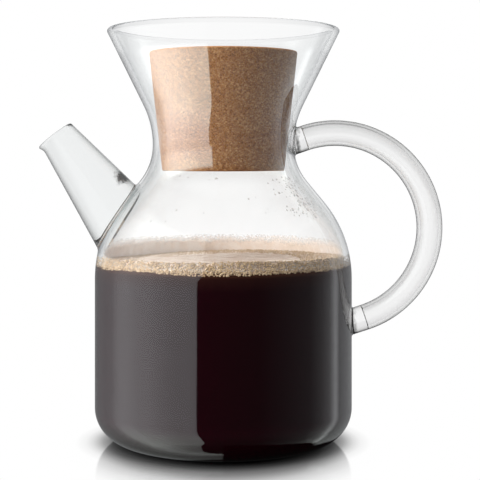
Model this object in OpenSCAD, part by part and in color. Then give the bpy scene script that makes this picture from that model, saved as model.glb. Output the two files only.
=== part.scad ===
// Pour-over coffee maker: a blown glass carafe whose top is the filter funnel, with a fused
// side spout, a fused tube handle and a tapered cork stopper that seats in the waist.
// The origin is the centre of the foot ring, +Z is up, the spout points to -X, the handle to +X.

/* [Glass vessel] */
// Height of the waist, the narrowest place, above the foot ring
waist_h = 138.2; // [126:0.2:150]
// Height of the funnel, from the waist to the top of the rim
funnel_h = 54.3; // [48:0.1:64]
// Outer diameter of the belly
belly_d = 120; // [108:1:132]
// Outer diameter of the rounded rim of the funnel
rim_d = 108.6; // [100:0.2:118]
// Outer diameter at the waist
waist_d = 66.1; // [60:0.1:72]
// Thickness of the glass wall
wall_t = 2.6; // [2:0.1:3]
// Thickness of the glass floor
floor_t = 3.4; // [2.6:0.1:5]

/* [Vessel curves] */
// Outer radius of the hollow curve from the waist up into the funnel
funnel_curve_r = 41.5; // [34:0.5:48]
// Outer radius of the hollow curve from the waist down to the shoulder
neck_curve_r = 27; // [23:0.5:30]
// Length of the straight run between the neck's curve and the shoulder
shoulder_run = 12.8; // [6:0.2:20]
// Outer radius of the round shoulder
shoulder_r = 55; // [48:0.5:60]
// Outer radius of the corner between belly and foot
foot_r = 16.2; // [12:0.2:20]
// Width of the flat foot ring that the vessel stands on
foot_ring_w = 2.5; // [1.5:0.1:4]
// Height of the hollow under the foot, at its middle
punt_h = 1.6; // [0.8:0.1:2.4]

/* [Spout] */
// Lean of the spout's axis from the vertical, in degrees
spout_lean = 37.5; // [34:0.5:41]
// Distance from the top of the round shoulder down along it to the spout's axis
spout_drop = 5.4; // [2:0.1:10]
// Length of the spout's axis from the shoulder to the mouth
spout_len = 43.6; // [38:0.2:50]
// Outer diameter of the spout where it meets the shoulder
spout_root_d = 31.4; // [28:0.2:34]
// Outer diameter of the spout at its mouth
spout_mouth_d = 17.4; // [15:0.2:20]
// Thickness of the spout's glass
spout_wall = 1.9; // [1.4:0.1:2.4]
// Diameter of the hole from the vessel into the spout
spout_hole_d = 23.4; // [20:0.2:24]
// Height of the weld ring above the shoulder, on the spout's axis
spout_weld_h = 0.9; // [0.6:0.1:1.6]
// How far the weld ring stands out beyond the spout's own cone
spout_weld_bulge = 0.5; // [0.3:0.1:0.8]

/* [Pouring lip] */
// Length of the spout's end that the lip bends away from
lip_len = 2.8; // [2:0.1:4]
// Bend of the lip from the spout's axis, in degrees
lip_bend = 22; // [16:1:26]
// Flare of the lip on each side, in degrees
lip_flare = 10; // [6:1:14]

/* [Handle] */
// Outer diameter of the handle tube
handle_d = 12; // [10:0.2:14]
// Thickness of the handle tube's glass
handle_wall = 1.7; // [1.2:0.1:2.4]
// Radius of the handle's loop, to the middle of the tube
handle_loop_r = 44.3; // [41:0.1:47]
// Height above the waist at which the handle meets the neck
handle_rise = 1.4; // [0:0.1:3]
// Slope of the upper end where it runs into the neck, in degrees from the horizontal
handle_top_slope = 19; // [14:0.5:24]
// Length of the solid glass end on the neck
upper_weld_len = 5.2; // [4:0.1:8]
// How far the solid glass end on the belly reaches out from it
lower_weld_reach = 6.1; // [4:0.1:9]
// Radius of the flare where a solid end spreads on to the vessel
weld_flare_r = 1.3; // [1:0.1:2.2]

/* [Cork stopper] */
// Depth of the stopper's top below the rim of the funnel
cork_below_rim = 10.5; // [2:0.5:16]
// Taper of the stopper's side, in degrees from the vertical
cork_taper = 6.1; // [4:0.1:8]
// How far the stopper's lower end hangs below the waist
cork_drop = 12.7; // [9:0.1:16]
// Clearance between the seated stopper and the glass
cork_gap = 0.2; // [0.1:0.05:0.4]
// Radius of the eased edges at both ends of the stopper
cork_edge_r = 1.3; // [0.6:0.1:2.5]

/* [Hidden] */
$fn = 96;
// Angle between neighbouring points of an arc in an outline, in degrees
arc_step = 3.2;
// Fewest steps in an arc
arc_min_steps = 4;
// One overrun for every cut that has to pass a face
cut_over = 6;

glass_colour = [0.84, 0.89, 0.90, 0.45];
weld_colour = [0.76, 0.84, 0.88, 0.60];
cork_colour = [0.78, 0.61, 0.43];

belly_r = belly_d / 2;
waist_r = waist_d / 2;

// Centres of the round stretches of the outline, as [radius, height]
funnel_curve_c = [waist_r + funnel_curve_r, waist_h];
neck_curve_c = [waist_r + neck_curve_r, waist_h];
rim_c = [(rim_d - wall_t) / 2, waist_h + funnel_h - wall_t / 2];

// The neck's arc, the straight run and the shoulder's arc lead from the waist out to the belly,
// which sets how far both arcs turn and so the height at which the shoulder begins
turning_r = neck_curve_r + shoulder_r;
shoulder_slope = acos((turning_r - belly_r + waist_r) / norm([turning_r, shoulder_run]))
    - atan2(shoulder_run, turning_r);
shoulder_h = waist_h - turning_r * sin(shoulder_slope) - shoulder_run * cos(shoulder_slope);
shoulder_c = [belly_r - shoulder_r, shoulder_h];

// The funnel's middle line passes through the rim's centre and touches the curve above the waist
rim_from_curve = rim_c - funnel_curve_c;
funnel_turn = atan2(rim_from_curve.y, rim_from_curve.x)
    + acos((funnel_curve_r + wall_t / 2) / norm(rim_from_curve));

// The hollow under the foot is part of a large sphere
punt_edge_r = belly_r - foot_r - foot_ring_w;
punt_r = (punt_edge_r * punt_edge_r + punt_h * punt_h) / (2 * punt_h);

// The spout's axis leaves the shoulder's arc here
spout_seat_angle = shoulder_slope - spout_drop / shoulder_r * 180 / PI;
spout_root_x = shoulder_c.x + shoulder_r * cos(spout_seat_angle);
spout_root_h = shoulder_h + shoulder_r * sin(spout_seat_angle);
spout_root_r = spout_root_d / 2;
spout_mouth_r = spout_mouth_d / 2;
spout_shrink = (spout_root_r - spout_mouth_r) / spout_len;
// Depth below the shoulder that the weld's cuts reach, clear of the far side of the saddle
spout_depth = spout_hole_d / 2;

// The lip's cone starts this share of the wall inside the spout's own outer face
lip_inside_share = 0.36;
lip_root_r = spout_mouth_r + lip_len * spout_shrink - spout_wall * lip_inside_share;

// The handle's loop runs from the solid end on the neck to the solid end on the belly,
// and its slope at the belly is the one that makes both ends meet
handle_r = handle_d / 2;
handle_bore_r = handle_r - handle_wall;
handle_seat_h = waist_h + handle_rise;
handle_seat_x = funnel_curve_c.x - sqrt(funnel_curve_r * funnel_curve_r - handle_rise * handle_rise);
loop_start_x = handle_seat_x + upper_weld_len * cos(handle_top_slope);
loop_start_h = handle_seat_h + upper_weld_len * sin(handle_top_slope);
handle_low_slope = asin((belly_r + lower_weld_reach - loop_start_x) / handle_loop_r - sin(handle_top_slope));
lower_weld_len = lower_weld_reach / cos(handle_low_slope);
loop_c = [loop_start_x + handle_loop_r * sin(handle_top_slope), loop_start_h - handle_loop_r * cos(handle_top_slope)];
lower_end_h = loop_c.y - handle_loop_r * cos(handle_low_slope);
lower_seat_h = lower_end_h - lower_weld_len * sin(handle_low_slope);

// The stopper touches the curve above the waist where that curve has the stopper's own slope
cork_len = funnel_h + cork_drop - cork_below_rim;
cork_waist_r = waist_r - wall_t - (funnel_curve_r + wall_t) * (1 / cos(cork_taper) - 1) - cork_gap / cos(cork_taper);
cork_low_r = cork_waist_r - cork_drop * tan(cork_taper);
cork_top_r = cork_low_r + cork_len * tan(cork_taper);
cork_low_h = waist_h - cork_drop;

function reversed(points) = [for (i = [len(points) - 1:-1:0]) points[i]];

function arc(c, r, from, to, first = 0) =
    let (steps = max(arc_min_steps, ceil(abs(to - from) / arc_step)), turn = (to - from) / steps)
    [for (i = [first:steps]) c + r * [cos(from + turn * i), sin(from + turn * i)]];

// One skin of the vessel from the funnel down to the axis: inset 0 is the outside,
// inset wall_t the inside, and base_h is the height of its floor
function skin(inset, base_h) = concat(
    arc(funnel_curve_c, funnel_curve_r + inset, funnel_turn, 180),
    arc(neck_curve_c, neck_curve_r + inset, 180, 180 + shoulder_slope, 1),
    arc(shoulder_c, shoulder_r - inset, shoulder_slope, 0),
    arc([belly_r - foot_r, base_h + foot_r - inset], foot_r - inset, 0, -90),
    arc([0, base_h + punt_h - punt_r], punt_r, 90 - asin(punt_edge_r / punt_r), 90));

// Places a shape drawn about +Z on the spout's axis, with its origin on the shoulder
module on_spout(lean = spout_lean) {
    translate([-spout_root_x, 0, spout_root_h]) rotate([0, -lean, 0]) children();
}

// Everything on the vessel's side of the plane where the spout's tube ends
module below_spout_tube() {
    on_spout(90 - spout_seat_angle)
        translate([0, 0, spout_weld_h - spout_root_d]) cylinder(r = spout_root_d, h = spout_root_d);
}

// The solid cone of the spout, grown or shrunk by grow on every side
module spout_cone(grow) {
    translate([0, 0, -spout_depth])
        cylinder(
            r1 = spout_root_r + spout_depth * spout_shrink + grow,
            r2 = spout_mouth_r - cut_over * spout_shrink + grow,
            h = spout_depth + spout_len + cut_over);
}

// The solid cone of the lip, bent towards the outside of the pour
module lip_cone(grow) {
    translate([0, 0, spout_len - lip_len]) rotate([0, -lip_bend, 0])
        cylinder(r1 = lip_root_r + grow, r2 = lip_root_r + grow + (lip_len + cut_over) * tan(lip_flare), h = lip_len + cut_over);
}

// The vessel filled in, for cutting seats that fit it
module vessel_outside() {
    rim_out = rim_c - wall_t / 2 * [cos(funnel_turn), sin(funnel_turn)];
    rotate_extrude() polygon(concat([[0, rim_out.y], rim_out], skin(0, 0)));
}

module glass_vessel() {
    color(glass_colour) difference() {
        rotate_extrude() polygon(concat(
            reversed(skin(0, 0)),
            arc(rim_c, wall_t / 2, funnel_turn - 180, funnel_turn),
            skin(wall_t, floor_t)));
        on_spout() translate([0, 0, -spout_depth]) cylinder(d = spout_hole_d, h = 2 * spout_depth);
    }
}

module spout() {
    color(glass_colour) difference() {
        on_spout() intersection() {
            difference() {
                union() {
                    spout_cone(0);
                    lip_cone(0);
                }
                spout_cone(-spout_wall);
                lip_cone(-spout_wall);
            }
            translate([0, 0, -spout_depth]) cylinder(r = spout_root_d, h = spout_depth + spout_len);
        }
        below_spout_tube();
    }
}

module spout_weld() {
    color(weld_colour) difference() {
        intersection() {
            on_spout() spout_cone(spout_weld_bulge);
            below_spout_tube();
        }
        on_spout() translate([0, 0, -2 * spout_depth]) cylinder(d = spout_hole_d, h = 4 * spout_depth);
        vessel_outside();
    }
}

module handle() {
    color(glass_colour) translate([loop_c.x, 0, loop_c.y]) rotate([90, 0, 0])
        rotate([0, 0, handle_low_slope - 90])
            rotate_extrude(angle = 180 - handle_low_slope + handle_top_slope)
                translate([handle_loop_r, 0]) difference() {
                    circle(r = handle_r);
                    circle(r = handle_bore_r);
                }
}

// A solid end of the handle, drawn about +Z with its origin on the vessel and its tube end at len
module solid_end(len) {
    rotate_extrude() polygon(concat(
        [[0, -handle_d], [handle_r + weld_flare_r, -handle_d]],
        reversed(arc([handle_r + weld_flare_r, weld_flare_r], weld_flare_r, 180, 270)),
        [[handle_r, len], [0, len]]));
}

module handle_upper_weld() {
    color(weld_colour) difference() {
        translate([handle_seat_x, 0, handle_seat_h]) rotate([0, 90 - handle_top_slope, 0]) solid_end(upper_weld_len);
        vessel_outside();
    }
}

module handle_lower_weld() {
    color(weld_colour) difference() {
        translate([belly_r, 0, lower_seat_h]) rotate([0, 90 - handle_low_slope, 0]) solid_end(lower_weld_len);
        vessel_outside();
    }
}

module cork_stopper() {
    color(cork_colour) translate([0, 0, cork_low_h]) rotate_extrude() polygon(concat(
        [[0, 0]],
        arc([cork_low_r - cork_edge_r, cork_edge_r], cork_edge_r, -90, -cork_taper),
        arc([cork_top_r - cork_edge_r, cork_len - cork_edge_r], cork_edge_r, -cork_taper, 90),
        [[0, cork_len]]));
}

glass_vessel();
spout();
spout_weld();
handle();
handle_upper_weld();
handle_lower_weld();
cork_stopper();
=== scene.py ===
"""The looks of the pour-over coffee maker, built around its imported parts.

Outlines and places are in millimetres in the part's own frame: +Z up, the spout towards -X, the
handle towards +X and the camera on the -Y side. Meshes are scaled to metres as they are made.
"""

from math import acos, asin, atan2, ceil, cos, degrees, hypot, pi, radians, sin, sqrt, tan

import bmesh
import bpy
import numpy as np
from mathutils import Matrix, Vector


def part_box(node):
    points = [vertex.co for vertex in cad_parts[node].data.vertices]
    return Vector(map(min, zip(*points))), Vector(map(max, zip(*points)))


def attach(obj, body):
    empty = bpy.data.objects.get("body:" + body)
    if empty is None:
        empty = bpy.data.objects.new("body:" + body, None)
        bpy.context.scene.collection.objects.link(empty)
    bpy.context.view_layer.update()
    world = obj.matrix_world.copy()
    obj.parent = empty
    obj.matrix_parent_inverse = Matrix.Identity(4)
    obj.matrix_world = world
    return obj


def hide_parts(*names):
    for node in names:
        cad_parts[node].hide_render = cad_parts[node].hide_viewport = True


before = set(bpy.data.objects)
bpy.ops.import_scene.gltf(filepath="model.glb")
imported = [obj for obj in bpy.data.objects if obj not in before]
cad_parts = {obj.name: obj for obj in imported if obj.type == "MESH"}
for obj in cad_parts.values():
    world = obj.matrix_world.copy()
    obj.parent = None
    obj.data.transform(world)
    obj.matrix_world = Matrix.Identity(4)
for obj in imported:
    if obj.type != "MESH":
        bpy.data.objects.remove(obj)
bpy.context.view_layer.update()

MM = 0.001


def top_of(node):
    """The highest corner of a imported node, in millimetres."""
    return [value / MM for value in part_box(node)[1]]


# Sizes of the glass vessel, in mm
BELLY_R = top_of("glass_vessel")[1]
VESSEL_H = top_of("glass_vessel")[2]
RIM_R = 54.3
WAIST_R = 33.05
WAIST_H = 138.2
WALL = 2.6
FLOOR = 3.4
FUNNEL_CURVE_R = 41.5
NECK_CURVE_R = 27
SHOULDER_RUN = 12.8
SHOULDER_R = 55
FOOT_R = 16.2
FOOT_RING_W = 2.5
PUNT_H = 1.6
RIM_BAND = 2.6

# Sizes of the spout, its weld and the bead round its hole inside, in mm and degrees
SPOUT_LEAN = 37.5
SPOUT_DROP = 5.4
SPOUT_LEN = 45.9
SPOUT_ROOT_R = 15.7
SPOUT_MOUTH_R = 8.7
SPOUT_WALL = 1.9
SPOUT_HOLE_R = 11.7
SPOUT_FILLET = 1.5
SPOUT_CUT_R = 13.4
SPOUT_CUT_FROM, SPOUT_CUT_TO = -9, 7
BORE_RISE = 0.9
BEAD_RISE = 1.4
BEAD_DEPTH = 1.6
BEAD_SPREAD = 1.2
BEAD_RINGS = ((14, -0.12), (15.2, 0.5))
LIP_LEN = 4.6
LIP_REACH = 2.3
LIP_CURVE = 2.2
LIP_HALF_WIDTH = 52

# Sizes of the handle, in mm and degrees
HANDLE_R = 6
HANDLE_WALL = 1.7
LOOP_R = 44.3
HANDLE_RISE = 1.4
TOP_SLOPE = 19
UPPER_END_LEN = 5.2
LOWER_END_REACH = 6.1
END_FLARE = 1.4
END_CORE_R = 4
END_CORE_DEPTH = 1.5
BORE_CORNER_R = 0.5

# How fittings are sunk in the wall, in mm: (wider than the fillet, deeper than the skin)
HIDDEN_RINGS = ((0.3, 1.4), (0.8, 0.35))
FILLET_LIFT = 0.05
SEARCH_REACH = 14.0
SEARCH_STEPS = 40
FOOT_PASSES = 12

# Sizes of the cork stopper, in mm and degrees
CORK_TOP = top_of("cork_stopper")[2]
CORK_TOP_R = 34.68
CORK_LEN = 56.5
CORK_TAPER = 6.1
CORK_EDGE_R = 0.9
CORK_LOW_EDGE_R = 0.6

# Sizes of what is in the vessel, in mm
COFFEE_LEVEL = 82.7
COFFEE_DIP = 0.2
WETTING = 0.05
COFFEE_FLOOR = 0.8
FOOT_SKIN = 0.5
FOOT_BLEND_H = 9
FOAM_GAP = 0.6
FOAM_PEAK_DROP = 0.2
CLIMB_START = 0.86
CLIMB_RUN = 0.14
FILM_FROM, FILM_TO = 0.8, 11.0
FILM_GAP = 0.05
FILM_RINGS = 18

# How many bubbles and drops there are and where. Each pair holds the least and the most, in mm, and
# the bearing on the handle's side holds its middle and its spread, in degrees
EDGE_BUBBLES = 5200
EDGE_BUBBLE_RADII = (0.34, 0.58)
TOP_BUBBLES = 4200
TOP_BUBBLE_RADII = (0.14, 0.34)
DROPS = 230
DROP_SIDE_SHARE = 0.88
DROP_SIDE_BEARING = (-32, 11)
DROP_SIDE_HEIGHTS = (105, 123)
DROP_HEIGHTS = (98, 124)
SMALL_DROP_SHARE = 0.9
SMALL_DROP_RADII = (0.24, 0.48)
DROP_RADII = (0.5, 0.75)
DROP_FLATNESS = 0.45
DROP_GAP = 0.02

# How many points go round a body, a fitting or handle tube, and the foam
BODY_POINTS = 256
TUBE_POINTS = 128
FOAM_POINTS = 288

RNG = np.random.default_rng(7)


def arc(centre, radius, start, end, skip_first=False, step=2.5):
    """Points of an arc in an outline, as [radius, height] rows. Angles are in degrees."""
    count = max(4, ceil(abs(end - start) / step))
    turn = np.radians(np.linspace(start, end, count + 1))[int(skip_first):]
    return np.column_stack([centre[0] + radius * np.cos(turn), centre[1] + radius * np.sin(turn)])


def divided(points, longest=2.5):
    """An outline with points added on its long straight runs, closer together at their ends."""
    rows = [points[:1]]
    for a, b in zip(points[:-1], points[1:]):
        count = max(1, ceil(np.linalg.norm(b - a) / longest))
        share = (1 - np.cos(pi * np.arange(1, count + 1) / count))[:, None] / 2
        rows.append(a + (b - a) * share)
    return np.vstack(rows)


def eased(count):
    """Shares from just over 0 up to 1, closer together at both ends."""
    return (1 - np.cos(np.linspace(0, pi, count)[1:])) / 2


# Where the vessel's round stretches meet, from the sizes above
TURNING_R = NECK_CURVE_R + SHOULDER_R
SHOULDER_SLOPE = degrees(
    acos((TURNING_R - BELLY_R + WAIST_R) / hypot(TURNING_R, SHOULDER_RUN))
    - atan2(SHOULDER_RUN, TURNING_R))
SHOULDER_H = (WAIST_H - TURNING_R * sin(radians(SHOULDER_SLOPE))
              - SHOULDER_RUN * cos(radians(SHOULDER_SLOPE)))
FUNNEL_C = np.array([WAIST_R + FUNNEL_CURVE_R, WAIST_H])
NECK_C = np.array([WAIST_R + NECK_CURVE_R, WAIST_H])
SHOULDER_C = np.array([BELLY_R - SHOULDER_R, SHOULDER_H])
RIM_C = np.array([RIM_R - WALL / 2, VESSEL_H - WALL / 2])
RIM_AWAY = RIM_C - FUNNEL_C
FUNNEL_TURN = degrees(
    atan2(RIM_AWAY[1], RIM_AWAY[0])
    + acos((FUNNEL_CURVE_R + WALL / 2) / np.linalg.norm(RIM_AWAY)))
PUNT_EDGE_R = BELLY_R - FOOT_R - FOOT_RING_W
PUNT_R = (PUNT_EDGE_R ** 2 + PUNT_H ** 2) / (2 * PUNT_H)
SPOUT_SHRINK = (SPOUT_ROOT_R - SPOUT_MOUTH_R) / SPOUT_LEN


def skin(inset, base_h):
    """One skin of the vessel, from the rim down to the axis: inset 0 is the outside."""
    inwards = np.array([cos(radians(FUNNEL_TURN)), sin(radians(FUNNEL_TURN))])
    return divided(np.vstack([
        [RIM_C + (inset - WALL / 2) * inwards],
        arc(FUNNEL_C, FUNNEL_CURVE_R + inset, FUNNEL_TURN, 180),
        arc(NECK_C, NECK_CURVE_R + inset, 180, 180 + SHOULDER_SLOPE, True),
        arc(SHOULDER_C, SHOULDER_R - inset, SHOULDER_SLOPE, 0),
        arc((BELLY_R - FOOT_R, base_h + FOOT_R - inset), FOOT_R - inset, 0, -90),
        arc((0, base_h + PUNT_H - PUNT_R), PUNT_R,
            90 - degrees(asin(PUNT_EDGE_R / PUNT_R)), 90, step=0.5),
    ]))


OUTSIDE = skin(0, 0)
INSIDE = skin(WALL, FLOOR)


def skin_radius(points, height):
    """Radius of a skin at a height between its foot and its rim."""
    side = points[points[:, 0] > PUNT_EDGE_R / 2][::-1]
    return np.interp(height, side[:, 1], side[:, 0])


def new_object(name, data):
    """A new object in the scene."""
    made = bpy.data.objects.new(name, data)
    bpy.context.scene.collection.objects.link(made)
    return made


def mesh_object(name, vertices, faces, material=None, smooth=True):
    """A new object from points in mm, in the part's frame."""
    mesh = bpy.data.meshes.new(name)
    mesh.from_pydata((np.asarray(vertices) * MM).tolist(), [], faces)
    mesh.validate()
    work = bmesh.new()
    work.from_mesh(mesh)
    bmesh.ops.recalc_face_normals(work, faces=work.faces)
    work.to_mesh(mesh)
    work.free()
    mesh.polygons.foreach_set("use_smooth", [smooth] * len(mesh.polygons))
    if material:
        mesh.materials.append(material)
    return new_object(name, mesh)


def ring_faces(rows, columns, closed):
    """Faces between rings of points that each close on themselves."""
    faces = []
    for row in range(rows if closed else rows - 1):
        here, there = row * columns, (row + 1) % rows * columns
        for column in range(columns):
            after = (column + 1) % columns
            faces.append((here + column, here + after, there + after, there + column))
    return faces


def loft(rings, poles=None):
    """Vertices and faces through rings [ring, place, xyz]. Without poles they close in a loop."""
    rows, columns = rings.shape[:2]
    vertices = rings.reshape(-1, 3)
    faces = ring_faces(rows, columns, poles is None)
    if poles is not None:
        first, last = len(vertices), len(vertices) + 1
        vertices = np.vstack([vertices, poles])
        end = (rows - 1) * columns
        for column in range(columns):
            after = (column + 1) % columns
            faces.append((first, after, column))
            faces.append((last, end + column, end + after))
    return vertices, faces


def turns(count):
    """Angles once round, without the last."""
    return np.linspace(0, 2 * pi, count, endpoint=False)


def turned(outline):
    """Rings of a body of revolution, from [radius, height] rows."""
    turn = turns(BODY_POINTS)
    return np.stack([
        outline[:, :1] * np.cos(turn), outline[:, :1] * np.sin(turn),
        np.repeat(outline[:, 1:], BODY_POINTS, axis=1)], axis=2)


def revolved(outline):
    """A closed body of revolution whose outline starts and ends on the axis."""
    poles = [[0, 0, outline[0, 1]], [0, 0, outline[-1, 1]]]
    return loft(turned(outline[1:-1]), poles)


def combined(base, other, operation):
    """Joins base with the other object, or cuts it by it, and removes the other."""
    modifier = base.modifiers.new("combine", "BOOLEAN")
    modifier.operation = operation
    modifier.solver = "MANIFOLD"
    modifier.object = other
    graph = bpy.context.evaluated_depsgraph_get()
    mesh = bpy.data.meshes.new_from_object(base.evaluated_get(graph))
    base.modifiers.clear()
    base.data = mesh
    bpy.data.objects.remove(other)


class Fitting:
    """A round fitting on the vessel: rings about an axis that leaves the skin at origin."""

    def __init__(self, origin, along, across):
        self.origin = np.array(origin, float)
        self.along = np.array(along, float)
        self.turn = turns(TUBE_POINTS)
        side = np.array([0.0, 1.0, 0.0])
        self.across = np.outer(np.cos(self.turn), across) + np.outer(np.sin(self.turn), side)

    def ring(self, distance, radius):
        """Points at a distance along the axis and a radius from it: a number or one per place."""
        distance = np.broadcast_to(distance, self.turn.shape)[:, None]
        radius = np.broadcast_to(radius, self.turn.shape)[:, None]
        return self.origin + distance * self.along + radius * self.across

    def reach(self, points, radius):
        """How far along the axis the skin lies, at each place of a ring of that radius."""
        low = np.full(self.turn.shape, -SEARCH_REACH)
        high = np.full(self.turn.shape, SEARCH_REACH)
        for _ in range(SEARCH_STEPS):
            middle = (low + high) / 2
            at = self.ring(middle, radius)
            inside = np.hypot(at[:, 0], at[:, 1]) < skin_radius(points, at[:, 2])
            low, high = np.where(inside, middle, low), np.where(inside, high, middle)
        return (low + high) / 2

    def flare(self, radius, shrink, fillet, steps=7):
        """Rings from inside the wall, over the skin and up a fillet on to a cone, and their end."""
        foot_r = np.full(self.turn.shape, float(radius))
        for _ in range(FOOT_PASSES):
            foot = self.reach(OUTSIDE, foot_r)
            foot_r = radius - shrink * foot
        outer_r = foot_r + fillet
        outer = self.reach(OUTSIDE, outer_r) + FILLET_LIFT
        top = foot + fillet
        top_r = radius - shrink * top
        rings = [self.ring(self.reach(OUTSIDE, outer_r + wider) - deeper, outer_r + wider)
                 for wider, deeper in HIDDEN_RINGS]
        for share in np.linspace(0, 1, steps):
            weights = (1 - share) ** 2, 2 * share * (1 - share), share ** 2
            rings.append(self.ring(
                weights[0] * outer + weights[1] * foot + weights[2] * top,
                weights[0] * outer_r + weights[1] * foot_r + weights[2] * top_r))
        return rings, top


def spout_axis():
    """Where the spout's axis leaves the shoulder, and its direction."""
    lean = radians(SPOUT_LEAN)
    seat = radians(SHOULDER_SLOPE - degrees(SPOUT_DROP / SHOULDER_R))
    out = SHOULDER_C[0] + SHOULDER_R * cos(seat)
    root = Vector((-out, 0, SHOULDER_H + SHOULDER_R * sin(seat)))
    return root, Vector((-sin(lean), 0, cos(lean)))


def spout_radius(spout, distance):
    """The spout's outer radius at a distance along its axis, with the bend of its lip."""
    away = np.degrees(np.abs(spout.turn - pi))
    lip = LIP_REACH * np.exp(-(away / LIP_HALF_WIDTH) ** 2)
    share = np.clip((distance - SPOUT_LEN + LIP_LEN) / LIP_LEN, 0, 1)
    return SPOUT_ROOT_R - SPOUT_SHRINK * distance + lip * share ** LIP_CURVE


def spout_outer_rings(spout, start):
    """Rings up the cone from its fillet, and round the rim."""
    half = SPOUT_WALL / 2
    rim = SPOUT_LEN - half
    rings = []
    for share in eased(46):
        distance = start + (rim - start) * share
        rings.append(spout.ring(distance, spout_radius(spout, distance)))
    for turn in np.radians(np.linspace(0, 180, 11)[1:]):
        distance = rim + half * sin(turn)
        rings.append(spout.ring(distance, spout_radius(spout, rim) - half + half * cos(turn)))
    return rings


def spout_inner_rings(spout):
    """Rings down the bore, through the wall and over the bead round the hole inside."""
    rim = SPOUT_LEN - SPOUT_WALL / 2
    wall = spout.reach(INSIDE, SPOUT_HOLE_R + 1)
    neck = wall + WALL + BORE_RISE
    neck_r = spout_radius(spout, neck) - SPOUT_WALL
    bead = wall + BEAD_RISE
    rings = []
    for share in eased(40):
        distance = rim + (neck - rim) * share
        rings.append(spout.ring(distance, spout_radius(spout, distance) - SPOUT_WALL))
    for share in np.linspace(0, 1, 9)[1:]:
        ease = share * share * (3 - 2 * share)
        rings.append(spout.ring(neck + (bead - neck) * share, neck_r + (SPOUT_HOLE_R - neck_r) * ease))
    for share in np.linspace(0, 1, 7)[1:]:
        turn = pi / 2 * share
        radius = SPOUT_HOLE_R + BEAD_SPREAD * (1 - cos(turn))
        rings.append(spout.ring(bead - BEAD_DEPTH * sin(turn), radius))
    for radius, rise in BEAD_RINGS:
        rings.append(spout.ring(spout.reach(INSIDE, radius) + rise, radius))
    return rings


def spout_bodies():
    """The spout as one closed tube with its weld and lip, and the body that cuts its hole."""
    root, axis = spout_axis()
    spout = Fitting(root, axis, (axis.z, 0, -axis.x))
    rings, start = spout.flare(SPOUT_ROOT_R, SPOUT_SHRINK, SPOUT_FILLET)
    rings += spout_outer_rings(spout, start) + spout_inner_rings(spout)
    tube = mesh_object("spout_tube", *loft(np.array(rings)))
    ends = SPOUT_CUT_FROM, SPOUT_CUT_TO
    cut = np.array([spout.ring(end, SPOUT_CUT_R) for end in ends])
    hole = mesh_object("spout_hole", *loft(cut, [spout.ring(end, 0)[0] for end in ends]))
    return tube, hole


def handle_path():
    """Where the handle starts, its loop's centre, and the slopes of its upper and lower ends."""
    top = radians(TOP_SLOPE)
    seat_x = FUNNEL_C[0] - sqrt(FUNNEL_CURVE_R ** 2 - HANDLE_RISE ** 2)
    start_x = seat_x + UPPER_END_LEN * cos(top)
    start_h = WAIST_H + HANDLE_RISE + UPPER_END_LEN * sin(top)
    low = asin((BELLY_R + LOWER_END_REACH - start_x) / LOOP_R - sin(top))
    centre = (start_x + LOOP_R * sin(top), start_h - LOOP_R * cos(top))
    return seat_x, centre, top, low


def loop_ring(centre, angle, radius):
    """A ring of the handle tube at an angle round its loop."""
    turn = turns(TUBE_POINTS)
    out = np.array([cos(angle), 0, sin(angle)])
    at = np.array([centre[0], 0, centre[1]]) + LOOP_R * out
    return at + radius * (np.outer(np.cos(turn), out) + np.outer(np.sin(turn), [0, 1, 0]))


def handle_end(fitting, length):
    """Rings of one solid end of the handle, from inside the vessel's wall outwards, and its pole."""
    rings, start = fitting.flare(HANDLE_R, 0, END_FLARE)
    core = fitting.ring(fitting.reach(OUTSIDE, END_CORE_R) - END_CORE_DEPTH, END_CORE_R)
    straight = [fitting.ring(start + (length - start) * share, HANDLE_R) for share in (0.4, 0.75)]
    pole = fitting.ring(fitting.reach(OUTSIDE, 0) - END_CORE_DEPTH, 0)[0]
    return [core] + rings + straight, pole


def handle_outer():
    """The handle as a closed outer body with both of its solid ends."""
    seat_x, centre, top, low = handle_path()
    low_len = LOWER_END_REACH / cos(low)
    low_h = centre[1] - LOOP_R * cos(low) - low_len * sin(low)
    upper = Fitting((seat_x, 0, WAIST_H + HANDLE_RISE),
                    (cos(top), 0, sin(top)), (-sin(top), 0, cos(top)))
    lower = Fitting((BELLY_R, 0, low_h),
                    (cos(low), 0, sin(low)), (sin(low), 0, -cos(low)))
    upper_rings, upper_pole = handle_end(upper, UPPER_END_LEN)
    lower_rings, lower_pole = handle_end(lower, low_len)
    angles = np.linspace(pi / 2 + top, low - pi / 2, 110)
    loop = [loop_ring(centre, angle, HANDLE_R) for angle in angles]
    rings = np.array(upper_rings + loop + lower_rings[::-1])
    return mesh_object("handle_outer", *loft(rings, [upper_pole, lower_pole]))


def handle_bore():
    """The closed bore of the handle, with rounded corners at both of its ends."""
    _, centre, top, low = handle_path()
    first, last = pi / 2 + top, low - pi / 2
    bore_r = HANDLE_R - HANDLE_WALL
    corner = np.radians(np.linspace(90, 0, 6))
    sizes = [bore_r * 0.5, bore_r - BORE_CORNER_R - 0.05]
    sizes += [bore_r - BORE_CORNER_R * (1 - cos(turn)) for turn in corner]
    depths = [0, 0] + [BORE_CORNER_R / LOOP_R * (1 - sin(turn)) for turn in corner]
    angles = first + (last - first) * np.linspace(0, 1, 108)[1:-1]
    rings = [loop_ring(centre, first - depth, size) for depth, size in zip(depths, sizes)]
    rings += [loop_ring(centre, angle, bore_r) for angle in angles]
    rings += [loop_ring(centre, last + depth, size) for depth, size in zip(depths[::-1], sizes[::-1])]
    poles = [loop_ring(centre, first, 0)[0], loop_ring(centre, last, 0)[0]]
    return mesh_object("handle_bore", *loft(np.array(rings), poles))


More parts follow.
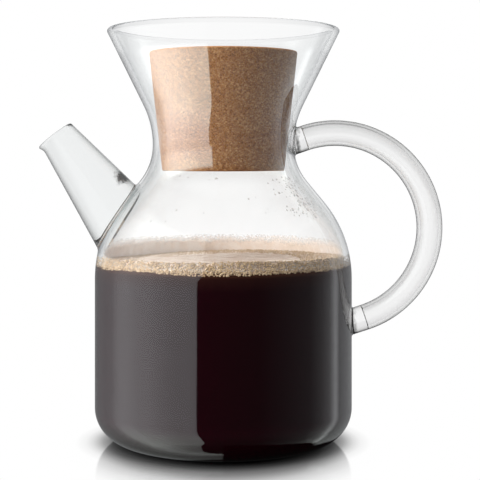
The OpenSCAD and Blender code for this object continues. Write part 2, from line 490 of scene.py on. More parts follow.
class Nodes:
    """Helps to build a node tree."""

    def __init__(self, tree):
        self.tree = tree
        tree.nodes.clear()

    def add(self, kind, inputs=None, **settings):
        """A new node with its settings, and with its inputs linked or set."""
        node = self.tree.nodes.new(kind)
        for name, value in settings.items():
            setattr(node, name, value)
        for name, value in (inputs or {}).items():
            self.feed(node.inputs[name], value)
        return node

    def result(self, kind, inputs=None, **settings):
        """The first output of a new node."""
        return self.add(kind, inputs, **settings).outputs[0]

    def feed(self, socket, value):
        """Links an output to the socket, or sets its value."""
        if isinstance(value, bpy.types.NodeSocket):
            self.tree.links.new(value, socket)
        else:
            socket.default_value = value

    def math(self, operation, *values, clamp=False):
        """The result of a sum on numbers or outputs."""
        inputs = dict(enumerate(values))
        return self.result("ShaderNodeMath", inputs, operation=operation, use_clamp=clamp)

    def vector(self, operation, first, second):
        """The result of a sum on vectors."""
        return self.result("ShaderNodeVectorMath", {0: first, 1: second}, operation=operation)

    def length(self, vector):
        """The length of a vector."""
        return self.add("ShaderNodeVectorMath", {0: vector}, operation="LENGTH").outputs["Value"]

    def place(self):
        """Where the shaded point is in the part's frame, in metres."""
        return self.add("ShaderNodeTexCoord").outputs["Object"]

    def along(self, vector, axis):
        """A vector's X, Y or Z."""
        return self.add("ShaderNodeSeparateXYZ", {0: vector}).outputs[axis]

    def noise(self, place, scale, detail, **more):
        """A cloudy noise between 0 and 1, its scale per metre."""
        inputs = {"Vector": place, "Scale": scale, "Detail": detail, **more}
        return self.add("ShaderNodeTexNoise", inputs).outputs["Fac"]

    def ramp(self, value, stops):
        """A colour ramp. Each stop is (position, (red, green, blue) or one grey)."""
        node = self.add("ShaderNodeValToRGB")
        while len(node.color_ramp.elements) < len(stops):
            node.color_ramp.elements.new(0.5)
        for element, (position, colour) in zip(node.color_ramp.elements, stops):
            element.position = position
            element.color = grey(colour) if isinstance(colour, (int, float)) else (*colour, 1)
        self.feed(node.inputs[0], value)
        return node.outputs[0]

    def mix(self, share, first, second, blend="MIX"):
        """Two colours mixed, or blended in another way."""
        inputs = {"Factor": share, 6: first, 7: second}
        return self.add("ShaderNodeMix", inputs, data_type="RGBA", blend_type=blend).outputs[2]

    def multiplied(self, first, second):
        """One colour tinted by another."""
        return self.mix(1.0, first, second, "MULTIPLY")

    def principled(self, **inputs):
        """The main kind of surface. Underscores in input names stand for spaces."""
        named = {name.replace("_", " "): value for name, value in inputs.items()}
        return self.result("ShaderNodeBsdfPrincipled", named)

    def mix_shader(self, share, first, second):
        """Two surfaces mixed by a share."""
        return self.result("ShaderNodeMixShader", {0: share, 1: first, 2: second})

    def by_ray(self, mixer, common, own):
        """What all rays see, replaced for each kind in turn by what that kind sees of its own."""
        path = self.add("ShaderNodeLightPath")
        for kind, seen in own.items():
            common = mixer(path.outputs[f"Is {kind} Ray"], common, seen)
        return common

    def painted_edge_shade(self, stops):
        """A painted shade, for the dark outlines of glass, that goes by how far edge on the surface is
        seen.
        """
        return self.ramp(self.add("ShaderNodeLayerWeight", {"Blend": 0.5}).outputs["Facing"], stops)


class Material(Nodes):
    """A new material with its nodes."""

    def __init__(self, name):
        self.made = bpy.data.materials.new(name)
        self.made.use_nodes = True
        super().__init__(self.made.node_tree)

    def finished(self, surface):
        """The material, with this surface."""
        self.add("ShaderNodeOutputMaterial", {"Surface": surface})
        return self.made


def grey(value):
    """A grey as a socket takes it."""
    return (value, value, value, 1)


# Painted shade: how dark each kind of glass gets from face on, 0, to edge on, 1
VESSEL_EDGE = [(0.0, 1.0), (0.25, (0.98, 0.985, 0.985)), (0.45, (0.905, 0.91, 0.915)),
               (0.6, (0.79, 0.80, 0.805)), (0.75, (0.61, 0.625, 0.63)), (1.0, (0.22, 0.24, 0.25))]
RIM_EDGE = [(0.0, 0.97), (0.5, (0.82, 0.825, 0.83)), (0.75, (0.46, 0.47, 0.48)),
            (1.0, (0.12, 0.13, 0.14))]
SPOUT_EDGE = [(0.0, 0.87), (0.2, 0.845), (0.36, 0.76), (0.5, 0.56), (0.62, 0.32), (0.8, 0.08)]
LINING_EDGE = [(0.0, 0.93), (0.5, 0.84), (1.0, 0.55)]
HANDLE_EDGE = [(0.0, 0.89), (0.2, 0.82), (0.36, 0.67), (0.5, 0.44), (0.62, 0.21), (0.8, 0.04)]
BORE_EDGE = [(0.0, 0.97), (0.5, 0.84), (1.0, 0.50)]
DROP_EDGE = [(0.0, 1.0), (0.5, 0.9), (1.0, (0.35, 0.35, 0.36))]

# How much each kind of glass bends light: less than real glass where the photograph's outline is soft
VESSEL_BENDING = 1.47
RIM_BENDING = 1.04
SPOUT_BENDING = 1.25
HANDLE_BENDING = 1.4
WATER_BENDING = 1.33
COAT_BENDING = 1.9

# The tint of glass that lets the lamps' light through
OPEN_TINT = (0.96, 0.965, 0.965, 1)

# Painted shade in the spout and the handle's welded ends, as dark streaked patches: centre and half sizes
# in mm, and the grey at their middle
SPOUT_PAINTED_SHADE = [((-47.6, 0, 122.6), (5.4, 14, 4.6), 0.02), ((-72.2, 0, 147.9), (3.2, 7, 2.4), 0.02)]
HANDLE_PAINTED_SHADE = [((34.6, 0, 138.6), (2.2, 8, 11.0), 0.12), ((61.2, 0, 53.0), (1.6, 8, 11.0), 0.35)]
SHADE_FRAY = 0.7

# On ramps over a height or a distance 1 is 200 mm
RAMP_SCALE = 5.0

# Over the vessel's height: the stronger gloss of the neck, and how glossy the glass is without it
COAT_BAND = [(0.600, 0.0), (0.620, 1.0), (0.896, 1.0), (0.908, 0.0)]
SHINE = [(0.02, 0.8), (0.06, 0.8), (0.09, 1.0), (0.895, 1.0), (0.91, 0.1)]


def with_painted_shade(nodes, colour, shade_patches):
    """The colour, with painted shade in streaks inside each patch."""
    place = nodes.place()
    streaks = nodes.noise(place, 800.0, 1.0)
    fray = nodes.math("MULTIPLY", nodes.math("SUBTRACT", streaks, 0.5), SHADE_FRAY)
    for centre, half, dark in shade_patches:
        away = nodes.vector("SUBTRACT", place, tuple(value * MM for value in centre))
        away = nodes.vector("MULTIPLY", away, tuple(1 / (value * MM) for value in half))
        shade = nodes.ramp(nodes.math("ADD", nodes.length(away), fray), [(0.62, dark), (1.0, 1.0)])
        colour = nodes.multiplied(colour, shade)
    return colour


def glass_material(name, edge, bending, coated=False, mirrored=True, shade_patches=()):
    """Clear borosilicate: painted shade greys it edge on and in the given patches; open to the light of
    the lamps.
    """
    nodes = Material(name)
    colour = nodes.painted_edge_shade(edge)
    if shade_patches:
        colour = with_painted_shade(nodes, colour, shade_patches)
    coat = {}
    if coated:
        height = nodes.math("MULTIPLY", nodes.along(nodes.place(), "Z"), RAMP_SCALE)
        coat = {"Specular_Tint": nodes.ramp(height, SHINE), "Coat_Weight": nodes.ramp(height, COAT_BAND),
                "Coat_IOR": COAT_BENDING, "Coat_Roughness": 0.0}
    glass = nodes.principled(
        Base_Color=colour, Roughness=0.0, IOR=bending, Transmission_Weight=1.0, **coat)
    opening = nodes.result("ShaderNodeBsdfTransparent", {"Color": OPEN_TINT})
    open_to = ["Diffuse", "Shadow"] if mirrored else ["Diffuse", "Shadow", "Glossy"]
    return nodes.finished(nodes.by_ray(nodes.mix_shader, glass, dict.fromkeys(open_to, opening)))


# The glass body's materials in the order of its list
VESSEL, RIM, SPOUT, HANDLE, BORE, LINING, VESSEL_LINING = range(7)


def glass_materials():
    """The seven kinds of glass, in the order above."""
    return [
        glass_material("vessel_glass", VESSEL_EDGE, VESSEL_BENDING, coated=True),
        glass_material("rim_glass", RIM_EDGE, RIM_BENDING),
        glass_material("spout_glass", SPOUT_EDGE, SPOUT_BENDING, mirrored=False, shade_patches=SPOUT_PAINTED_SHADE),
        glass_material("handle_glass", HANDLE_EDGE, HANDLE_BENDING, shade_patches=HANDLE_PAINTED_SHADE),
        glass_material("bore_glass", BORE_EDGE, HANDLE_BENDING),
        glass_material("lining_glass", LINING_EDGE, SPOUT_BENDING, mirrored=False),
        glass_material("vessel_lining", VESSEL_EDGE, VESSEL_BENDING)]


def coffee_material():
    """Black coffee: very dark, with a trace of red, and browner just under the foam."""
    nodes = Material("black_coffee")
    height = nodes.along(nodes.place(), "Z")
    depth = nodes.math("MULTIPLY", nodes.math("SUBTRACT", COFFEE_LEVEL * MM, height), 100.0)
    deep = nodes.ramp(depth, [(0.0, (0.060, 0.024, 0.014)), (0.25, (0.022, 0.006, 0.005)),
                              (0.8, (0.0110, 0.0006, 0.0022))])
    surface = nodes.principled(Base_Color=deep, Roughness=0.25, IOR=1.05, Specular_IOR_Level=0.0)
    return nodes.finished(surface)


def foam_material():
    """The top of the foam: a smooth pinkish beige with fine pores, and painted shade at the glass, in the
    gaps between the bubbles.
    """
    nodes = Material("coffee_foam")
    place = nodes.place()
    cells = nodes.add("ShaderNodeTexVoronoi", {"Vector": place, "Scale": 1400.0})
    clouds = nodes.noise(place, 130.0, 6.0, Distortion=1.2)
    base = nodes.ramp(clouds, [(0.35, (0.68, 0.53, 0.43)), (0.50, (0.86, 0.73, 0.63)),
                               (0.62, (0.96, 0.87, 0.79))])
    pores = nodes.ramp(cells.outputs["Distance"], [(0.2, 1.0), (0.8, (0.80, 0.74, 0.67))])
    away = nodes.length(nodes.vector("MULTIPLY", place, (1.0, 1.0, 0.0)))
    # Painted shade for the gaps between the bubbles, where the foam meets the glass
    gap_shade = nodes.ramp(nodes.math("MULTIPLY", away, 10.0),
                     [(0.558, 1.0), (0.566, (0.52, 0.40, 0.30))])
    colour = nodes.multiplied(nodes.multiplied(base, pores), gap_shade)
    surface = nodes.principled(Base_Color=colour, Roughness=0.6, Specular_IOR_Level=0.2)
    return nodes.finished(surface)


def bubble_material():
    """Bubbles against the glass: glossy beige beads that differ a little from one another."""
    nodes = Material("foam_bubbles")
    tone = nodes.noise(nodes.place(), 700.0, 2.0)
    base = nodes.ramp(tone, [(0.3, (0.44, 0.295, 0.160)), (0.7, (0.69, 0.52, 0.335))])
    surface = nodes.principled(Base_Color=base, Roughness=0.3, Specular_IOR_Level=0.6)
    return nodes.finished(surface)


def film_material():
    """The thin film of foam left on the glass above the coffee, in fading patches."""
    nodes = Material("foam_film")
    place = nodes.place()
    rise = nodes.math("SUBTRACT", nodes.along(place, "Z"), COFFEE_LEVEL * MM)
    rise = nodes.math("MULTIPLY", rise, 125.0)
    back = nodes.math("MULTIPLY_ADD", nodes.along(place, "Y"), 10.0, 0.5)
    back = nodes.ramp(back, [(0.2, 0.0), (0.6, 1.0)])
    patches = nodes.noise(place, 120.0, 5.0, Roughness=0.6)
    fine = nodes.noise(place, 1100.0, 2.0)
    cover = nodes.math("SUBTRACT", nodes.math("MULTIPLY_ADD", back, 0.90, 0.52), rise)
    cover = nodes.math("MULTIPLY_ADD", patches, 0.8, nodes.math("SUBTRACT", cover, 0.4))
    cover = nodes.math("MULTIPLY_ADD", fine, 0.7, nodes.math("SUBTRACT", cover, 0.35))
    alpha = nodes.ramp(cover, [(0.0, 0.0), (0.2, 0.3), (0.6, 0.84)])
    colour = nodes.ramp(patches, [(0.35, (0.84, 0.68, 0.53)), (0.5, (0.95, 0.80, 0.67)),
                                  (0.62, (1.0, 0.89, 0.79))])
    surface = nodes.principled(Base_Color=colour, Alpha=alpha, Roughness=0.6, Specular_IOR_Level=0.1)
    return nodes.finished(surface)


def water_material():
    """Clear drops of condensation, with painted shade that greys them where they are seen edge on."""
    nodes = Material("water_drops")
    surface = nodes.principled(
        Base_Color=nodes.painted_edge_shade(DROP_EDGE), Roughness=0.0, IOR=WATER_BENDING, Transmission_Weight=1.0)
    return nodes.finished(surface)


def cork_material():
    """Agglomerated cork: fine granules of several browns, with small dark pores."""
    nodes = Material("agglomerated_cork")
    squat = nodes.vector("MULTIPLY", nodes.place(), (1.0, 1.0, 1.2))
    warp = nodes.add("ShaderNodeTexNoise", {"Vector": squat, "Scale": 900.0, "Detail": 2.0})
    warp = nodes.vector("SUBTRACT", warp.outputs["Color"], (0.5,) * 3)
    warped = nodes.vector("ADD", squat, nodes.vector("MULTIPLY", warp, (0.0004,) * 3))
    granules = nodes.add("ShaderNodeTexVoronoi", {"Vector": warped, "Scale": 1250.0})
    tone = nodes.result("ShaderNodeSeparateColor", {0: granules.outputs["Color"]})
    broad = nodes.math("MULTIPLY", nodes.noise(squat, 160.0, 3.0), 0.3)
    tone = nodes.math("ADD", nodes.math("MULTIPLY", tone, 0.75), broad)
    colour = nodes.ramp(tone, [(0.05, (0.28, 0.105, 0.032)), (0.35, (0.40, 0.165, 0.050)),
                               (0.7, (0.49, 0.230, 0.080)), (1.0, (0.66, 0.390, 0.175))])
    grain = nodes.noise(squat, 2300.0, 3.0)
    specks = nodes.ramp(grain, [(0.36, (0.38, 0.30, 0.24)), (0.47, 0.95),
                                (0.58, 1.0), (0.70, (1.4, 1.55, 1.75))])
    colour = nodes.multiplied(colour, specks)
    bump = nodes.result("ShaderNodeBump", {"Strength": 0.3, "Distance": 0.0002, "Height": grain})
    surface = nodes.principled(
        Base_Color=colour, Roughness=0.85, Specular_IOR_Level=0.0, Normal=bump)
    return nodes.finished(surface)


def split_vessel(vessel):
    """Gives the rim and the inside of the vessel's wall their own glass."""
    for face in vessel.data.polygons:
        inner = face.normal.x * face.center.x + face.normal.y * face.center.y < 0
        at_rim = face.center.z > (VESSEL_H - RIM_BAND) * MM
        face.material_index = RIM if at_rim else VESSEL_LINING if inner else VESSEL


def split_spout(tube):
    """Gives the faces that look towards the spout's axis the lining's glass."""
    root, axis = spout_axis()
    for face in tube.data.polygons:
        away = face.center / MM - root
        if face.normal.dot(away - axis * away.dot(axis)) < -1:
            face.material_index = LINING


def make_glass():
    """The whole carafe as one fused body: vessel, spout and handle, hollow like the real one."""
    rim = arc(RIM_C, WALL / 2, FUNNEL_TURN - 180, FUNNEL_TURN, step=12)
    outline = np.vstack([OUTSIDE[::-1], rim[1:-1], INSIDE])
    vessel = mesh_object("glass_carafe", *revolved(outline))
    tube, hole = spout_bodies()
    outer, bore = handle_outer(), handle_bore()
    glasses = glass_materials()
    for made, index in ((vessel, VESSEL), (hole, VESSEL), (tube, SPOUT), (outer, HANDLE), (bore, BORE)):
        for glass in glasses:
            made.data.materials.append(glass)
        made.data.polygons.foreach_set("material_index", [index] * len(made.data.polygons))
    split_vessel(vessel)
    split_spout(tube)
    combined(vessel, hole, "DIFFERENCE")
    combined(vessel, tube, "UNION")
    combined(vessel, outer, "UNION")
    combined(vessel, bore, "DIFFERENCE")
    vessel.data.polygons.foreach_set("use_smooth", [True] * len(vessel.data.polygons))
    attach(vessel, "carafe")
    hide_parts("glass_vessel", "spout", "spout_weld",
                "handle", "handle_upper_weld", "handle_lower_weld")


def make_coffee():
    """The coffee, which wets the glass up to the foam and fills out the heavy foot."""
    level = COFFEE_LEVEL - COFFEE_DIP
    wall = skin(WALL - WETTING, COFFEE_FLOOR)
    wall = wall[wall[:, 1] < level]
    wider = skin_radius(skin(FOOT_SKIN, FOOT_SKIN), wall[:, 1])
    share = np.clip((FOOT_R - wall[:, 1]) / FOOT_BLEND_H, 0, 1) * (wall[:, 0] > PUNT_EDGE_R)
    wall[:, 0] += np.clip(wider - wall[:, 0], 0, None) * share
    edge_r = skin_radius(INSIDE, level) + WETTING
    outline = np.vstack([[[0, level], [edge_r * 0.5, level], [edge_r, level]], wall])
    coffee = mesh_object("coffee", *revolved(outline), coffee_material())
    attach(coffee, "carafe")


def bead_shape(rows=5, columns=8):
    """Vertices and faces of one small bead of radius 1."""
    up = np.radians(np.linspace(90, -90, rows + 2))[1:-1]
    turn = turns(columns)
    unit = [[0, 0, 1]]
    for e in up:
        unit += [[cos(e) * cos(t), cos(e) * sin(t), sin(e)] for t in turn]
    unit.append([0, 0, -1])
    last = len(unit) - 1
    pairs = [(column, (column + 1) % columns) for column in range(columns)]
    faces = [(1 + here, 1 + after, 0) for here, after in pairs]
    for row in range(rows - 1):
        high, low = 1 + row * columns, 1 + (row + 1) * columns
        faces += [(high + here, low + here, low + after, high + after) for here, after in pairs]
    faces += [(last, last - columns + after, last - columns + here) for here, after in pairs]
    return np.array(unit), faces


def bead_field(name, beads, material, flat=1.0):
    """Small beads as one object, each a (place, radius, facing) in mm and flattened as it faces."""
    unit, faces = bead_shape()
    vertices, all_faces = [], []
    for place, radius, facing in beads:
        points = unit * radius
        depth = points @ facing
        start = len(vertices) * len(unit)
        vertices.append(points - np.outer(depth * (1 - flat), facing) + place)
        all_faces += [tuple(start + i for i in face) for face in faces]
    return mesh_object(name, np.vstack(vertices), all_faces, material)


def wave(turn, seed, amounts):
    """A smooth closed wave round the axis: one amount for each number of waves."""
    shifts = np.random.default_rng(seed).uniform(0, 2 * pi, len(amounts))
    return sum(a * np.sin((k + 1) * turn + shift) for k, (a, shift) in enumerate(zip(amounts, shifts)))


def foam_low(turn):
    """Height of the foam's lower edge against the glass."""
    return COFFEE_LEVEL - 0.35 + wave(turn, 3, [0.1, 0.15, 0.1, 0.2, 0.12, 0.15, 0.12, 0.12, 0.08])


def foam_top(turn):
    """Height of the foam's top: thin at the back on the spout's side, thicker by the handle."""
    front = (1 - np.sin(turn)) / 2
    back = (2.0 + 1.5 * np.cos(turn)) * (1 - front)
    return COFFEE_LEVEL + 1.5 * front + back + wave(turn, 5, [0.15, 0.1, 0.1])


def foam_high(turn):
    """Height that the bank of bubbles reaches on the glass: highest in front."""
    front = np.clip((0.55 - np.sin(turn)) / 1.2, 0, 1)
    climb = 3.1 + wave(turn, 4, [0.2, 0.25, 0.2, 0.2, 0.15, 0.12, 0.1, 0.1])
    return foam_top(turn) + climb * front + 0.1


def foam_climb(share):
    """How far the foam's top has risen to its edge on the glass, at a share of its radius."""
    return np.clip((share - CLIMB_START) / CLIMB_RUN, 0, 1) ** 2


def foam_rings(turn, middle):
    """Rings of the foam's bank: out over its top, down along the glass and in again below."""
    low, high = foam_low(turn), foam_high(turn) - FOAM_PEAK_DROP
    level = foam_top(turn)
    rows = []
    for share in np.linspace(0.04, 1, 34) ** 0.8:
        radius = (skin_radius(INSIDE, high) - FOAM_GAP) * share
        top = middle + (level - middle) * share
        rough = 0.15 * np.sin(radius * 1.1 + 3 * turn) * np.sin(radius * 0.7 - 5 * turn)
        rows.append((radius, top + rough * share + (high - top) * foam_climb(share)))
    for share in np.linspace(0, 1, 9):
        height = high + (low - high) * share
        inset = 0.35 + 0.5 * (1 - share) ** 4 - 0.45 * share ** 12
        rows.append((skin_radius(INSIDE, height) - inset, height))
    for share in np.linspace(0, 1, 8)[1:]:
        rows.append((skin_radius(INSIDE, low) * (1 - 0.96 * share), low - 0.3 * min(1.0, share * 8)))
    return np.array([np.column_stack([radius * np.cos(turn), radius * np.sin(turn), height])
                     for radius, height in rows])


def make_foam():
    """The foam as a soft bank over the coffee."""
    turn = turns(FOAM_POINTS)
    middle = foam_top(turn).mean()
    poles = [[0, 0, middle], [0, 0, COFFEE_LEVEL - 0.9]]
    foam = mesh_object("foam_bank", *loft(foam_rings(turn, middle), poles), foam_material())
    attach(foam, "carafe")


def edge_bubble():
    """A bubble between the foam and the glass: its bearing, distance out, height and radius."""
    angle = RNG.uniform(0, 2 * pi)
    share = RNG.uniform(0, 1) ** 1.15
    base, peak = foam_low(angle), foam_high(angle)
    radius = RNG.uniform(*EDGE_BUBBLE_RADII) * (1 - 0.4 * share)
    height = base - 0.25 + (peak - base + 0.4) * share
    return angle, skin_radius(INSIDE, height) - radius * 0.55, height, radius


def top_bubble():
    """A smaller bubble on top of the foam near its edge, in the same terms."""
    angle = RNG.uniform(0, 2 * pi)
    radius = RNG.uniform(*TOP_BUBBLE_RADII)
    share = 0.985 - 0.34 * RNG.uniform(0, 1) ** 1.6
    height, peak = foam_top(angle), foam_high(angle) - FOAM_PEAK_DROP
    height += (peak - height) * foam_climb(share)
    return angle, (skin_radius(INSIDE, peak) - FOAM_GAP) * share, height + radius * 0.2, radius


def make_bubbles():
    """The bubbles along the foam's edge."""
    spots = [edge_bubble() for _ in range(EDGE_BUBBLES)] + [top_bubble() for _ in range(TOP_BUBBLES)]
    beads = []
    for angle, out, height, radius in spots:
        place = np.array([out * cos(angle), out * sin(angle), height])
        beads.append((place, radius, np.array([cos(angle), sin(angle), 0])))
    bubbles = bead_field("foam_bubbles", beads, bubble_material())
    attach(bubbles, "carafe")


def make_film():
    """The film of foam on the inner wall, from the foam up to where it fades out."""
    heights = np.linspace(COFFEE_LEVEL + FILM_FROM, COFFEE_LEVEL + FILM_TO, FILM_RINGS)
    outline = np.column_stack([skin_radius(INSIDE, heights) - FILM_GAP, heights])
    vertices = turned(outline).reshape(-1, 3)
    faces = ring_faces(FILM_RINGS, BODY_POINTS, False)
    film = mesh_object("foam_film", vertices, faces, film_material())
    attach(film, "carafe")


def make_drops():
    """Condensation on the inner wall under the neck, thickest on the handle's side."""
    beads = []
    for _ in range(DROPS):
        right = RNG.uniform() < DROP_SIDE_SHARE
        angle = radians(RNG.normal(*DROP_SIDE_BEARING) if right else RNG.uniform(-180, 180))
        height = RNG.uniform(*(DROP_SIDE_HEIGHTS if right else DROP_HEIGHTS))
        small = RNG.uniform() < SMALL_DROP_SHARE
        radius = RNG.uniform(*(SMALL_DROP_RADII if small else DROP_RADII))
        out = skin_radius(INSIDE, height)
        slope = skin_radius(INSIDE, height + 0.5) - skin_radius(INSIDE, height - 0.5)
        away = np.array([cos(angle), sin(angle), -slope])
        away /= np.linalg.norm(away)
        at = np.array([out * cos(angle), out * sin(angle), height])
        beads.append((at - away * (radius * DROP_FLATNESS + DROP_GAP), radius, away))
    drops = bead_field("water_drops", beads, water_material(), DROP_FLATNESS)
    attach(drops, "carafe")


def make_cork():
    """The tapered stopper with eased edges."""
    low = CORK_TOP - CORK_LEN
    low_r = CORK_TOP_R - CORK_LEN * tan(radians(CORK_TAPER))
    low_c = (low_r - CORK_LOW_EDGE_R, low + CORK_LOW_EDGE_R)
    top_c = (CORK_TOP_R - CORK_EDGE_R, CORK_TOP - CORK_EDGE_R)
    outline = divided(np.vstack([
        [[0, low]],
        arc(low_c, CORK_LOW_EDGE_R, -90, -CORK_TAPER, step=15),
        arc(top_c, CORK_EDGE_R, -CORK_TAPER, 90, step=15),
        [[0, CORK_TOP]]]), 1.0)
    cork = mesh_object("cork_body", *revolved(outline), cork_material())
    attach(cork, "stopper")
    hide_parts("cork_stopper")


# The photograph's view: a level camera on the -Y side, in mm and in pixels of a 480-pixel square
FRAME_PX = 480
FOCAL_PX = 1300
CAMERA_AWAY = 610
CAMERA_H = 132
AXIS_PX = 223.3
HORIZON_PX = 158


def make_camera():
    """The photograph's level camera, with its picture shifted to the object."""
    data = bpy.data.cameras.new("camera")
    data.lens = FOCAL_PX / FRAME_PX * data.sensor_width
    data.shift_x = (FRAME_PX / 2 - AXIS_PX) / FRAME_PX
    data.shift_y = (HORIZON_PX - FRAME_PX / 2) / FRAME_PX
    camera = new_object("camera", data)
    camera.location = Vector((0, -CAMERA_AWAY, CAMERA_H)) * MM
    camera.rotation_euler = (radians(90), 0, 0)
    bpy.context.scene.camera = camera


# Each lamp's bearing from the camera's side and elevation in degrees, its distance, width and height
# in metres, and its radiance. Bearings are positive to the right
LAMPS = {
    "softbox_left": (-66, 28, 1.2, 1.0, 1.2, 5.5),
    "softbox_side": (-102, 16, 1.2, 0.7, 1.0, 3.0),
    "softbox_top": (0, 76, 1.1, 1.0, 1.0, 2.8)}
LAMP_AIM = (0, 0, 0.09)


def make_lamp(name, bearing, elevation, away, width, height, radiance):
    """A soft panel that lights the object and is never seen itself."""
    data = bpy.data.lights.new(name, "AREA")
    data.shape = "RECTANGLE"
    data.size, data.size_y = width, height
    data.energy = radiance * pi * width * height
    lamp = new_object(name, data)
    b, e = radians(bearing), radians(elevation)
    back = Vector((sin(b) * cos(e), -cos(b) * cos(e), sin(e)))
    lamp.location = Vector(LAMP_AIM) + back * away
    lamp.rotation_euler = back.to_track_quat("Z", "Y").to_euler()
    lamp.visible_camera = lamp.visible_glossy = lamp.visible_transmission = False


# What smooth surfaces reflect at each bearing in degrees: a softbox on the left, and dark cards
REFLECTED = [
    (-180, 0.01), (-177, 0.12), (-150, 0.2), (-130, 0.4), (-118, 0.6), (-106, 1.1), (-95, 1.4),
    (-70, 1.43), (-45, 1.1), (-24.9, 1.0), (-23.9, 0.02), (30, 0.03), (55, 0.07), (80, 0.12),
    (96, 0.26), (106, 0.42), (112, 0.8), (115, 0.95), (118, 0.75), (122, 0.36), (150, 0.24),
    (168, 0.14), (180, 0.12)]
REFLECTED_MOST = 1.5

# The rest goes by height in the surround: 0 is straight down, 0.5 the horizon and 1 straight up.
# The softbox's edge leans, so what lies at a bearing is moved by a share of a turn, on each side
EDGE_SHIFT_LEFT = [
    (0.0, 0.05), (0.0076, 0.174), (0.03, 0.226), (0.067, 0.248), (0.112, 0.270), (0.155, 0.2715),
    (0.20, 0.270), (0.30, 0.266), (0.38, 0.264), (0.51, 0.266), (0.56, 0.278)]
EDGE_SHIFT_RIGHT = [
    (0.0, 0.30), (0.12, 0.295), (0.18, 0.288), (0.25, 0.266), (0.38, 0.264), (0.51, 0.266), (0.56, 0.275)]
EDGE_SHIFT_BASE = 0.76

# How bright the surround is at each height in front and at the sides, and all round at the back
FRONT_LEVEL = [
    (0.02, 0.2), (0.07, 0.34), (0.10, 0.46), (0.15, 0.46), (0.21, 0.50), (0.26, 0.48), (0.33, 0.45),
    (0.41, 0.39), (0.46, 0.40), (0.49, 0.36), (0.56, 0.36), (0.63, 0.46), (0.82, 0.46), (0.86, 0.02)]
BACK_LEVEL = 0.36
FRONT_SPAN = [(-130, 0.0), (-105, 1.0), (105, 1.0), (125, 0.0)]

# The table's dark edge on the right, as a height at each share of a half turn from the front
TABLE_EDGE = [
    (0.0, 0.085), (0.4, 0.10), (0.567, 0.13), (0.676, 0.16), (0.787, 0.175), (0.9, 0.30), (1.0, 0.488)]
TABLE_SHARPNESS = 60.0
TABLE_DARK = 0.001

# The surround's strength and tint, the tint's change with height, and the light of rough surfaces
STRENGTH = (7.1, 7.2, 7.4)
TINT = [(0.12, (1.0, 1.06, 0.99)), (0.38, 1.0), (0.56, 1.0), (0.80, (1.0, 1.06, 0.99))]
FILL = 0.10

# A white strip that glass mirrors from straight behind, by how far back and how high it is: of a
# direction of length 1, its parts along +Y and +Z. Then what glass lets through, by that height
STRIP_BACK = [(0.88, 0.0), (0.93, 1.0)]
STRIP_HEIGHTS = [(0.10, 0.0), (0.15, 1.0), (0.30, 1.0), (0.35, 0.0)]
SEEN_THROUGH = [(0.0, 1.06), (0.04, 0.96), (0.50, 0.96), (0.85, 0.35)]


def place_at(bearing):
    """The place of a bearing on a ramp that runs from the back, over the front, to the back."""
    return bearing / 360 + 0.5


def reflected_light(nodes, direction):
    """The surround that smooth surfaces reflect."""
    ahead = nodes.math("MULTIPLY", nodes.along(direction, "Y"), -1.0)
    bearing = nodes.math("ARCTAN2", nodes.along(direction, "X"), ahead)
    height = nodes.math("MULTIPLY_ADD", nodes.along(direction, "Z"), 0.5, 0.5)
    right = nodes.math("GREATER_THAN", bearing, 0.0)
    shift = nodes.mix(right, nodes.ramp(height, EDGE_SHIFT_LEFT), nodes.ramp(height, EDGE_SHIFT_RIGHT))
    turn = nodes.math("MULTIPLY_ADD", bearing, 0.5 / pi, EDGE_SHIFT_BASE)
    turn = nodes.math("SUBTRACT", turn, shift)
    around = nodes.ramp(turn, [(place_at(at), value / REFLECTED_MOST) for at, value in REFLECTED])
    sides = nodes.ramp(turn, [(place_at(at), value) for at, value in FRONT_SPAN])
    level = nodes.mix(sides, grey(BACK_LEVEL), nodes.ramp(height, FRONT_LEVEL))
    seen = nodes.multiplied(around, level)
    away = nodes.math("MULTIPLY", nodes.math("ABSOLUTE", bearing), 1 / pi)
    below = nodes.math("SUBTRACT", nodes.ramp(away, TABLE_EDGE), height)
    below = nodes.math("MULTIPLY", below, TABLE_SHARPNESS, clamp=True)
    seen = nodes.mix(nodes.math("MULTIPLY", below, right), seen, grey(TABLE_DARK))
    return nodes.multiplied(nodes.vector("MULTIPLY", seen, STRENGTH), nodes.ramp(height, TINT))


def make_world():
    """White for the camera and behind glass. Smooth surfaces reflect the studio's surround."""
    world = bpy.data.worlds.new("studio")
    world.use_nodes = True
    bpy.context.scene.world = world
    nodes = Nodes(world.node_tree)
    direction = nodes.add("ShaderNodeTexCoord").outputs["Generated"]
    up = nodes.along(direction, "Z")
    back = nodes.ramp(nodes.along(direction, "Y"), STRIP_BACK)
    strip = nodes.math("MULTIPLY", back, nodes.ramp(up, STRIP_HEIGHTS))
    mirrored = nodes.mix(strip, reflected_light(nodes, direction), grey(1))
    through = nodes.ramp(up, SEEN_THROUGH)
    colour = nodes.by_ray(nodes.mix, grey(FILL), {
        "Glossy": mirrored, "Transmission": through, "Camera": grey(1)})
    background = nodes.result("ShaderNodeBackground", {"Color": colour, "Strength": 1.0})
    nodes.add("ShaderNodeOutputWorld", {"Surface": background})


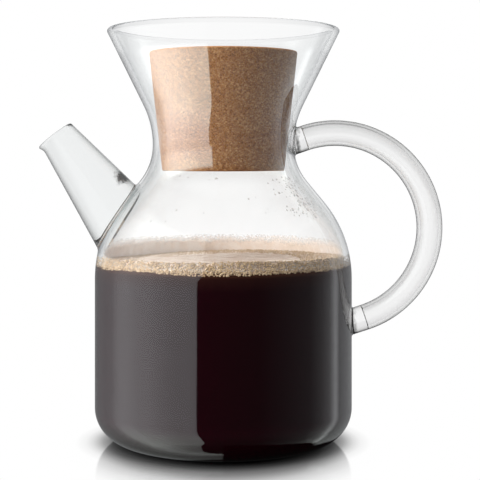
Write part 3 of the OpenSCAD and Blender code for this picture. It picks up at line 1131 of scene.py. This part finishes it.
# The table's tones by distance from the carafe's axis: its contact shadow, and how far out it
# mirrors the carafe and takes its shadow. Its greys are what lies open, what shows through the glass
# close by, and what it throws back on the object
CONTACT = [(0.235, 0.05), (0.2575, 0.15), (0.28, 0.36), (0.2935, 0.58), (0.305, 0.75), (0.32, 0.90),
           (0.345, 1.0)]
NEARNESS = [(0.245, 1.0), (0.30, 0.91), (0.35, 0.78), (0.375, 0.66), (0.41, 0.42), (0.455, 0.20),
            (0.50, 0.06), (0.54, 0.0)]
NEARNESS_SQUEEZE = (1.35, 1.0, 0.0)
MIRROR_SHARE = 0.98
MIRROR_ROUGHNESS = 0.08
TABLE_GREYS = (0.8, 0.1, 0.28)
TABLE_HALF = 3000


def table_material():
    """White, with the carafe's mirror image and shadow close by, and plain white beyond."""
    nodes = Material("white_table")
    place = nodes.add("ShaderNodeNewGeometry").outputs["Position"]
    away = nodes.length(nodes.vector("MULTIPLY", place, NEARNESS_SQUEEZE))
    radius = nodes.length(nodes.vector("MULTIPLY", place, (1.0, 1.0, 0.0)))
    contact = nodes.ramp(nodes.math("MULTIPLY", radius, RAMP_SCALE), CONTACT)
    near = nodes.ramp(nodes.math("MULTIPLY", away, RAMP_SCALE), NEARNESS)
    mirror = nodes.result("ShaderNodeBsdfGlossy", {"Color": contact, "Roughness": MIRROR_ROUGHNESS})
    diffuse, shade, bounce = [
        nodes.result("ShaderNodeBsdfDiffuse", {"Color": grey(value)}) for value in TABLE_GREYS]
    board = nodes.mix_shader(MIRROR_SHARE, diffuse, mirror)
    white = nodes.result("ShaderNodeEmission", {"Color": contact, "Strength": 1.0})
    opening = nodes.result("ShaderNodeBsdfTransparent")
    under = nodes.mix_shader(near, white, shade)
    seen = nodes.mix_shader(near, white, board)
    return nodes.finished(nodes.by_ray(nodes.mix_shader, diffuse, {
        "Transmission": under, "Camera": seen, "Glossy": opening, "Diffuse": bounce}))


def make_floor():
    """The table that the carafe stands on."""
    vertices = [[x * TABLE_HALF, y * TABLE_HALF, 0] for x, y in ((-1, -1), (1, -1), (1, 1), (-1, 1))]
    floor = mesh_object("table", vertices, [(0, 1, 2, 3)], table_material(), smooth=False)


def make_studio():
    """The camera, the surround, the table and the lamps, and how far light is followed."""
    make_camera()
    make_world()
    make_floor()
    for name, values in LAMPS.items():
        make_lamp(name, *values)
    cycles = bpy.context.scene.cycles
    cycles.caustics_reflective = False
    cycles.caustics_refractive = False
    cycles.max_bounces = 32
    cycles.glossy_bounces = 16
    cycles.transmission_bounces = 32
    cycles.transparent_max_bounces = 32
    bpy.context.scene.view_settings.view_transform = "Standard"


make_studio()
make_glass()
make_coffee()
make_foam()
make_bubbles()
make_film()
make_drops()
make_cork()
